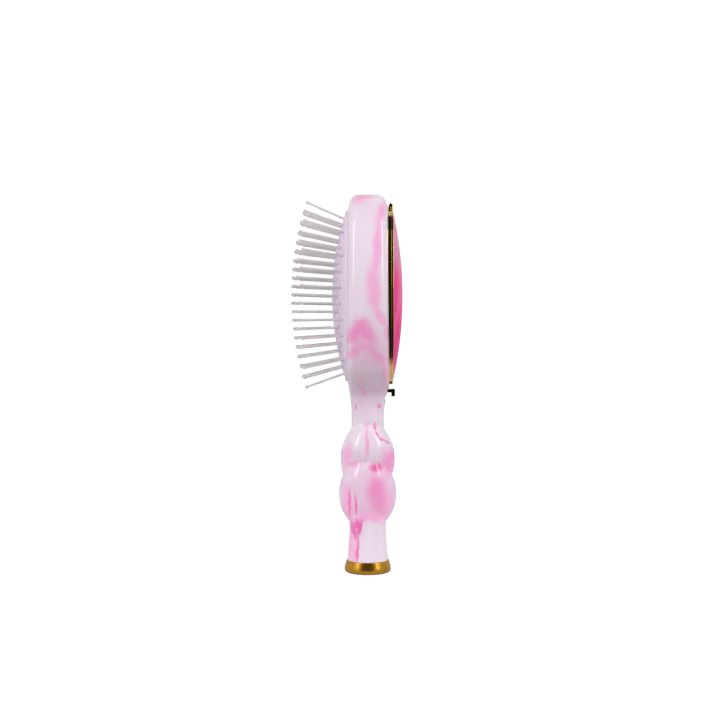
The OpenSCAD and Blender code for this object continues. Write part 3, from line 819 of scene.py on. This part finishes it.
# --- Pins --------------------------------------------------------------------------------------
# 99 moulded nylon pins with ball tips, in 21 rows, splayed outwards by the cushion's dome.
# Nylon is a little see-through, so it takes a grey tone from what stands behind it.
nylon = bpy.data.materials.new("pin nylon")
nylon.use_nodes = True
tree = nylon.node_tree
tree.nodes.clear()
place = node(tree, "TexCoord").outputs["Object"]
in_mm = node(tree, "VectorMath", {0: place, "Scale": 1000.0}, operation="SCALE").outputs[0]
uneven = node(tree, "TexNoise", {"Vector": in_mm, "Scale": 0.16, "Detail": 2.0})
tone = node(
    tree, "Mix",
    {0: uneven.outputs[0], 6: (0.86, 0.81, 0.84, 1), 7: (0.95, 0.92, 0.94, 1)},
    data_type="RGBA",
)
skin = node(tree, "BsdfPrincipled", {
    "Base Color": tone.outputs[2],
    "Roughness": 0.30,
    "IOR": 1.53,
    "Transmission Weight": 0.55,
})
node(tree, "OutputMaterial", {0: skin.outputs[0]})
for row in range(1, pin_rows + 1):
    finish_node(f"pin_row_{row:02d}", nylon)

# --- Fixed rim, tape and mirror ----------------------------------------------------------------
# A gold plated rim, let into the back of the head, holds the mirror glass on its foam tape and
# carries the two outer knuckles of the hinge.
rim_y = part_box("rear_bezel")[0].y / MM
hinge_y, hinge_z = 12.9, head_z + rim_b + 0.85
knuckle_r = 1.2
knuckle_from, knuckle_to = 3.1, 9.0
rim_face = 12.85


def oval_tube(name, profile, columns=360):
    """A rim: a closed profile of (inset across, inset along, y) points, swept round the rim's oval."""
    profile = np.array(profile)
    a, b = rim_a - profile[:, 0], rim_b - profile[:, 1]
    rings = oval_rings(a, b, profile[:, 2], columns)
    return ring_mesh(name, np.concatenate([rings, rings[:1]]))


def hinge_rings(radius, x0, x1, edge=0.45):
    """Rings of a bar on the hinge's axis, with a quarter round at each end."""
    t = np.linspace(0, 2 * np.pi, 48, endpoint=False)
    turn = np.radians(np.linspace(0, 90, 6))
    drawn, lift = edge * (1 - np.sin(turn)), edge * (1 - np.cos(turn))
    r = radius - np.concatenate([drawn, drawn[::-1]])[:, None]
    x = np.concatenate([x0 + lift, x1 - lift[::-1]])[:, None]
    return np.stack([x + 0 * t, hinge_y + r * np.cos(t), hinge_z + r * np.sin(t)], axis=-1)


def soft_block(low, high, radius):
    """Rings of a box whose edges are rounded: rounded squares, drawn in at both ends."""
    low, high = np.array(low, float), np.array(high, float)
    turn = np.radians(np.linspace(0, 90, 5))
    drawn = np.concatenate([radius * (1 - np.sin(turn)), radius * (1 - np.sin(turn[::-1]))])
    top_lift = high[2] - low[2] - radius * (1 - np.cos(turn[::-1]))
    lift = np.concatenate([radius * (1 - np.cos(turn)), top_lift])
    corner = np.radians(np.linspace(0, 90, 6)[None, :] + np.array([0, 90, 180, 270])[:, None]).ravel()
    side_x = np.repeat([1, -1, -1, 1], 6)
    side_y = np.repeat([1, 1, -1, -1], 6)
    half = (high - low) / 2
    mid = (high + low) / 2
    r = radius
    x = mid[0] + side_x * (half[0] - r) + (r - drawn[:, None]) * np.cos(corner)
    y = mid[1] + side_y * (half[1] - r) + (r - drawn[:, None]) * np.sin(corner)
    return np.stack([x, y, low[2] + lift[:, None] + 0 * x], axis=-1)


def join(piece, *others):
    """Adds the other meshes to a piece's mesh, and removes them."""
    shape = bmesh.new()
    for one in (piece, *others):
        shape.from_mesh(one.data)
    shape.to_mesh(piece.data)
    shape.free()
    for one in others:
        bpy.data.objects.remove(one)


rim = oval_tube("fixed_rim", [
    (0.10, 0.10, rim_y), (0.0, 0.0, rim_y + 0.1), (0.0, 0.0, 12.74), (0.02, 0.02, 12.79),
    (0.06, 0.06, 12.83), (0.12, 0.12, rim_face), (4.0, 4.4, rim_face), (4.15, 4.55, 12.81),
    (4.26, 4.66, 12.70), (4.30, 4.70, 12.55), (4.30, 4.70, rim_y + 0.1), (4.2, 4.6, rim_y),
])
cut(
    rim,
    loft("slot", box_ring([-2.85, 9.6, 107.95], [2.85, 13.85, 110.05])),
    loft("lid knuckle room", hinge_rings(knuckle_r + 0.3, -knuckle_from, knuckle_from, 0.05)),
)
for side in (-1, 1):
    ends = sorted((side * knuckle_from, side * knuckle_to))
    web = loft("web", soft_block([ends[0], 11.6, hinge_z - 4], [ends[1], rim_face, hinge_z - 0.4], 0.2))
    join(rim, loft("knuckle", hinge_rings(knuckle_r, *ends)), web)
smooth(rim, 35)
rim_gold = metal("rim gold", (0.88, 0.62, 0.24, 1), (0.62, 0.40, 0.12, 1), 0.05, 0.12)
rim.data.materials.clear()
rim.data.materials.append(rim_gold)
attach(rim, "root")
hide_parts("rear_bezel")
finish_node("hinge_pin", rim_gold)
foam = soft_solid("foam tape", (0.06, 0.05, 0.06, 1), (0.10, 0.09, 0.10, 1), 0.8, 0.3, 0.1)
finish_node("mirror_tape", foam)
silver = metal("silvered glass", (0.90, 0.93, 0.94, 1), (0.88, 0.91, 0.92, 1), 0.012, 0.01)
finish_node("mirror_glass", silver)

# --- Lid ---------------------------------------------------------------------------------------
# A second gold rim carries a domed cover of glittering pink resin, closed inside by a thin
# plate. It turns on the hinge pin at the top, and its tongue drops into the slot at the bottom.
lid_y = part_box("lid_liner")[0].y / MM
lid_top = 14.05
cover_seat = 13.65
cover_rise = 5.7
knuckle_mid = 2.95
lid_rim = oval_tube("lid_rim", [
    (0.10, 0.10, lid_y), (0.0, 0.0, lid_y + 0.1), (0.0, 0.0, lid_top - 0.28), (0.05, 0.05, lid_top - 0.12),
    (0.15, 0.15, lid_top - 0.03), (0.28, 0.28, lid_top), (0.80, 0.80, lid_top), (0.85, 0.85, lid_top - 0.05),
    (0.85, 0.85, cover_seat), (3.2, 3.2, cover_seat), (3.2, 3.2, lid_y),
])
cut(
    lid_rim,
    loft("left room", hinge_rings(knuckle_r + 0.3, -9.3, -2.97, 0.02)),
    loft("right room", hinge_rings(knuckle_r + 0.3, 2.97, 9.3, 0.02)),
)
web_low = [-knuckle_mid, lid_y, hinge_z - 3]
web_high = [knuckle_mid, lid_top, hinge_z - 0.4]
lid_web = loft("lid web", soft_block(web_low, web_high, 0.2))
tongue = loft("tongue", soft_block([-2.5, 4.8, 108.5], [2.5, 13.55, 109.9], 0.25))
cut(tongue, loft("window", box_ring([-1.75, 5.6, 107.5], [1.75, 7.2, 110.9])))
join(lid_rim, loft("lid knuckle", hinge_rings(knuckle_r, -knuckle_mid, knuckle_mid)), lid_web, tongue)
smooth(lid_rim, 35)
lid_rim.data.materials.clear()
lid_rim.data.materials.append(rim_gold)
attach(lid_rim, "lid")
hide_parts("lid_bezel")


def cover_rings(columns=320):
    """Rings of the cover: a dome y = edge + rise (1 - s^2), a rounded rim, and the hollow 1.6 mm in."""
    a, b = rim_a - 0.85, rim_b - 0.85
    outer = np.concatenate([np.linspace(0.004, 0.9, 60), np.linspace(0.915, 0.985, 10)])
    inner = np.linspace(0.93, 0.01, 20)
    share = np.concatenate([outer, [0.995, 1, 1, 1, 1], inner])
    inset = np.concatenate([0 * outer, [0.03, 0.07, 0.07, 1.6, 1.6], 0 * inner])
    dome = lid_top + cover_rise * (1 - outer**2)
    hollow = np.maximum(14.06, lid_top + cover_rise * (1 - inner**2) - 1.6)
    y = np.concatenate([dome, [lid_top + 0.08, lid_top + 0.0, 13.67, 13.67, 13.95], hollow])
    return oval_rings(share * a - inset, share * b - inset, y, columns)


lid_cover = loft("lid_cover", cover_rings())
smooth(lid_cover, 35)
glitter = bpy.data.materials.new("glitter resin")
glitter.use_nodes = True
tree = glitter.node_tree
tree.nodes.clear()
place = node(tree, "TexCoord").outputs["Object"]
in_mm = node(tree, "VectorMath", {0: place, "Scale": 1000.0}, operation="SCALE").outputs[0]
split = node(tree, "SeparateXYZ", {0: in_mm})
swirl = use(tree, stir, {"Vector": in_mm, "Amount": 15.0, "Size": 30.0}).outputs[0]
swirl_z = node(tree, "SeparateXYZ", {0: swirl}).outputs["Z"]
# Partly painted reflection: the cover is paler towards its top and bottom ends, where its curve turns away
# and shows more of the white room, over paler resin there.
upper = node(tree, "MapRange", {0: swirl_z, 1: 166.0, 2: 186.0}, interpolation_type="SMOOTHSTEP")
lower = node(tree, "MapRange", {0: swirl_z, 1: 122.0, 2: 108.0}, interpolation_type="SMOOTHSTEP")
pale_ends_and_sheen = node(tree, "Math", {0: upper.outputs[0], 1: lower.outputs[0]}, operation="MAXIMUM")
ground = paint(tree, (0.90, 0.012, 0.26, 1), (0.72, 0.28, 0.47, 1), pale_ends_and_sheen.outputs[0], 0.9)
lid_veins = use(tree, veins, {"Vector": in_mm, "Size": 20.0, "Thin": 0.7, "Patches": 0.42})
ground = paint(tree, ground, (0.86, 0.40, 0.62, 1), lid_veins.outputs[0], 0.25)
flakes = node(tree, "TexVoronoi", {"Vector": in_mm, "Scale": 2.4, "Randomness": 1.0})
chance = node(tree, "SeparateColor", {0: flakes.outputs["Color"]})
bright = node(tree, "MapRange", {0: chance.outputs[0], 1: 0.90, 2: 0.95})
speck = node(tree, "MapRange", {0: flakes.outputs["Distance"], 1: 0.42, 2: 0.22})
shown = node(tree, "Math", {0: bright.outputs[0], 1: speck.outputs[0]}, operation="MULTIPLY")
ground = paint(tree, ground, (0.98, 0.62, 0.80, 1), shown.outputs[0], 0.75)
tilt = node(tree, "Bump", {"Height": chance.outputs[1], "Strength": 0.12, "Distance": 0.0002})
shell = node(tree, "BsdfPrincipled", {
    "Base Color": ground,
    "Roughness": 0.35,
    "Normal": tilt.outputs[0],
    "Specular IOR Level": 0.04,
    "Coat Weight": 0.06,
    "Coat Roughness": 0.06,
})
node(tree, "OutputMaterial", {0: shell.outputs[0]})
lid_cover.data.materials.append(glitter)
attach(lid_cover, "lid")
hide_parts("lid_shell")
liner = soft_solid("liner plastic", (0.84, 0.70, 0.80, 1), (0.87, 0.73, 0.83, 1), 0.25, 1.5, 0.02)
finish_node("lid_liner", liner)

# --- Thumb catch -------------------------------------------------------------------------------
# A small sliding catch sits in a pocket behind a cover plate with two screws. A spring under it
# holds its nose in the tongue of the lid; its L-shaped tab stands out for the thumb.
catch_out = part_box("thumb_catch")[1].y / MM
arm_low, arm_high = 102.6, 104.5
catch = loft("catch", soft_block([-2.5, 6.5, arm_low], [2.5, catch_out, arm_high], 0.35))
leg = loft("leg", soft_block([-2.5, catch_out - 2, 100.4], [2.5, catch_out, arm_high], 0.35))
slider = loft("slider", soft_block([-2.75, 2.35, 101.2], [2.75, 7.35, 107.1], 0.3))
nose = loft("nose", soft_block([-1.5, 5.9, 101.2], [1.5, 6.9, 108.15], 0.2))
join(catch, leg, slider, nose)
smooth(catch, 40)
# Painted reflection: the catch is the same polished gold as the rims, its colour darkened to stand for the
# dark room it reflects.
catch_gold_shaded = metal("catch gold with painted dark reflection", (0.30, 0.17, 0.08, 1), (0.10, 0.05, 0.03, 1), 0.10, 0.15)
catch.data.materials.append(catch_gold_shaded)
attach(catch, "catch")
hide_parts("thumb_catch")
finish_node("catch_plate", rim_gold)
finish_node("catch_screws", rim_gold)
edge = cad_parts["catch_plate"].modifiers.new("edges", "BEVEL")
edge.width = 0.12 * MM
edge.segments = 2
edge.limit_method = "ANGLE"


def spring_rings(radius, wire, low, high, turns):
    """A helix tube: rings of the wire's radius about (r cos a, r sin a, z), rising evenly."""
    a = np.linspace(0, 2 * np.pi * turns, turns * 32 + 1)[:, None]
    b = np.linspace(0, 2 * np.pi, 10, endpoint=False)[None, :]
    r = radius + wire * np.cos(b)
    z = low + wire + (high - low - 2 * wire) * a / a[-1] + wire * np.sin(b)
    return np.stack([r * np.cos(a), spring_y + r * np.sin(a), z], axis=-1)


spring = loft("spring", spring_rings(1.5, 0.25, spring_bottom + 0.05, 101.1, 7))
smooth(spring, 60)
spring.data.materials.append(steel)
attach(spring, "root")
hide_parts("catch_spring")
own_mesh(spring)
